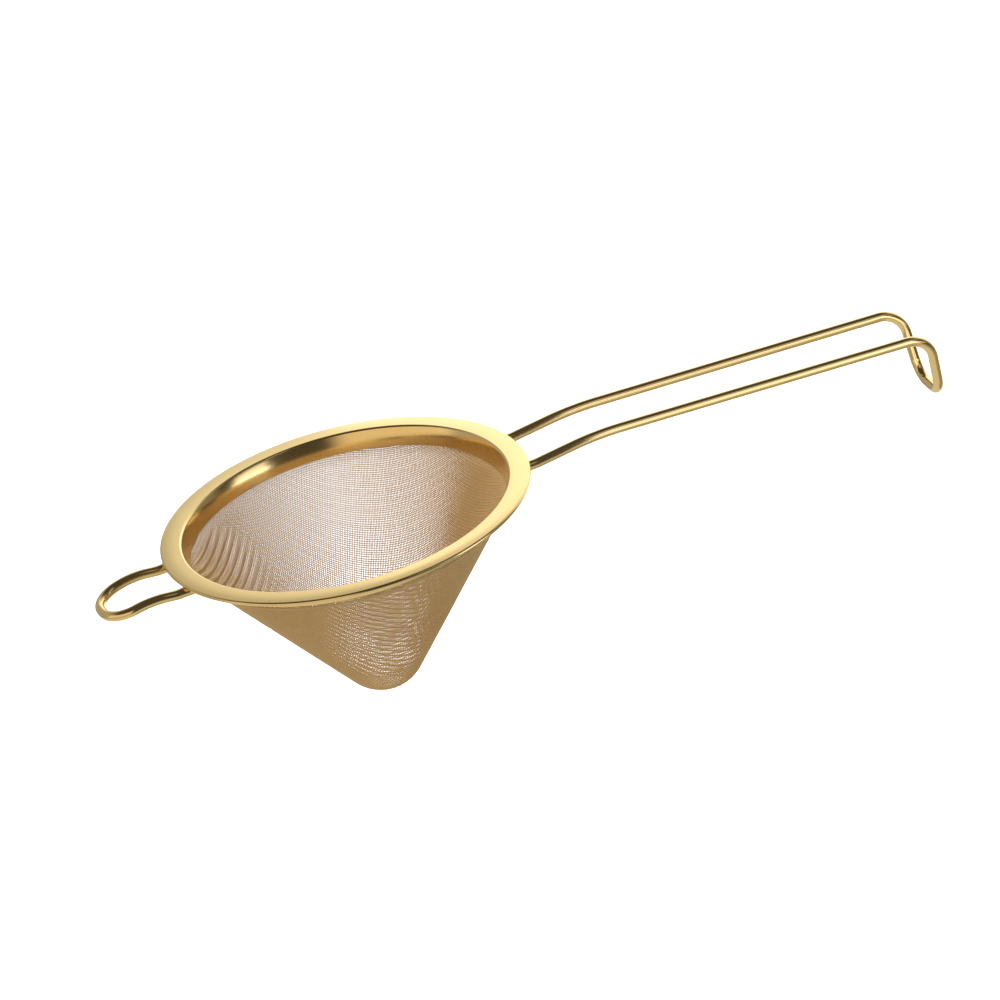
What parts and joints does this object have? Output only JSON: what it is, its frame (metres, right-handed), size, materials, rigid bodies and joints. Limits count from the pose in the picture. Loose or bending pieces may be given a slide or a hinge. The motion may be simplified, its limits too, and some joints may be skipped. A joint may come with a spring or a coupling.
{
  "type": "conical fine-mesh strainer",
  "caption": "Gold-tone conical fine-mesh drinks strainer: flat pressed rim, woven wire cone, long hooked wire handle and a short wire rest loop.",
  "frame": {"origin": "centre of the rim, in the plane of its flat top", "axes": "+X along the handle, +Z out of the mouth, the cone hangs towards -Z"},
  "size_m": [0.2251, 0.095, 0.0514],
  "materials": {
    "rim_metal": "polished gold-tone plating on pressed sheet steel",
    "wire_cloth": "satin gold-tone woven wire cloth",
    "bent_wire": "polished gold-tone plating on drawn wire",
    "weld_metal": "plated weld spot, slightly rough"
  },
  "bodies": {
    "root": {"rim_flange": "rim_metal", "mesh_cone": "wire_cloth", "clamp_band": "rim_metal", "handle_wire": "bent_wire", "rest_loop": "bent_wire", "handle_weld_left": "weld_metal", "handle_weld_right": "weld_metal", "loop_weld_left": "weld_metal", "loop_weld_right": "weld_metal"}
  },
  "joints": []
}
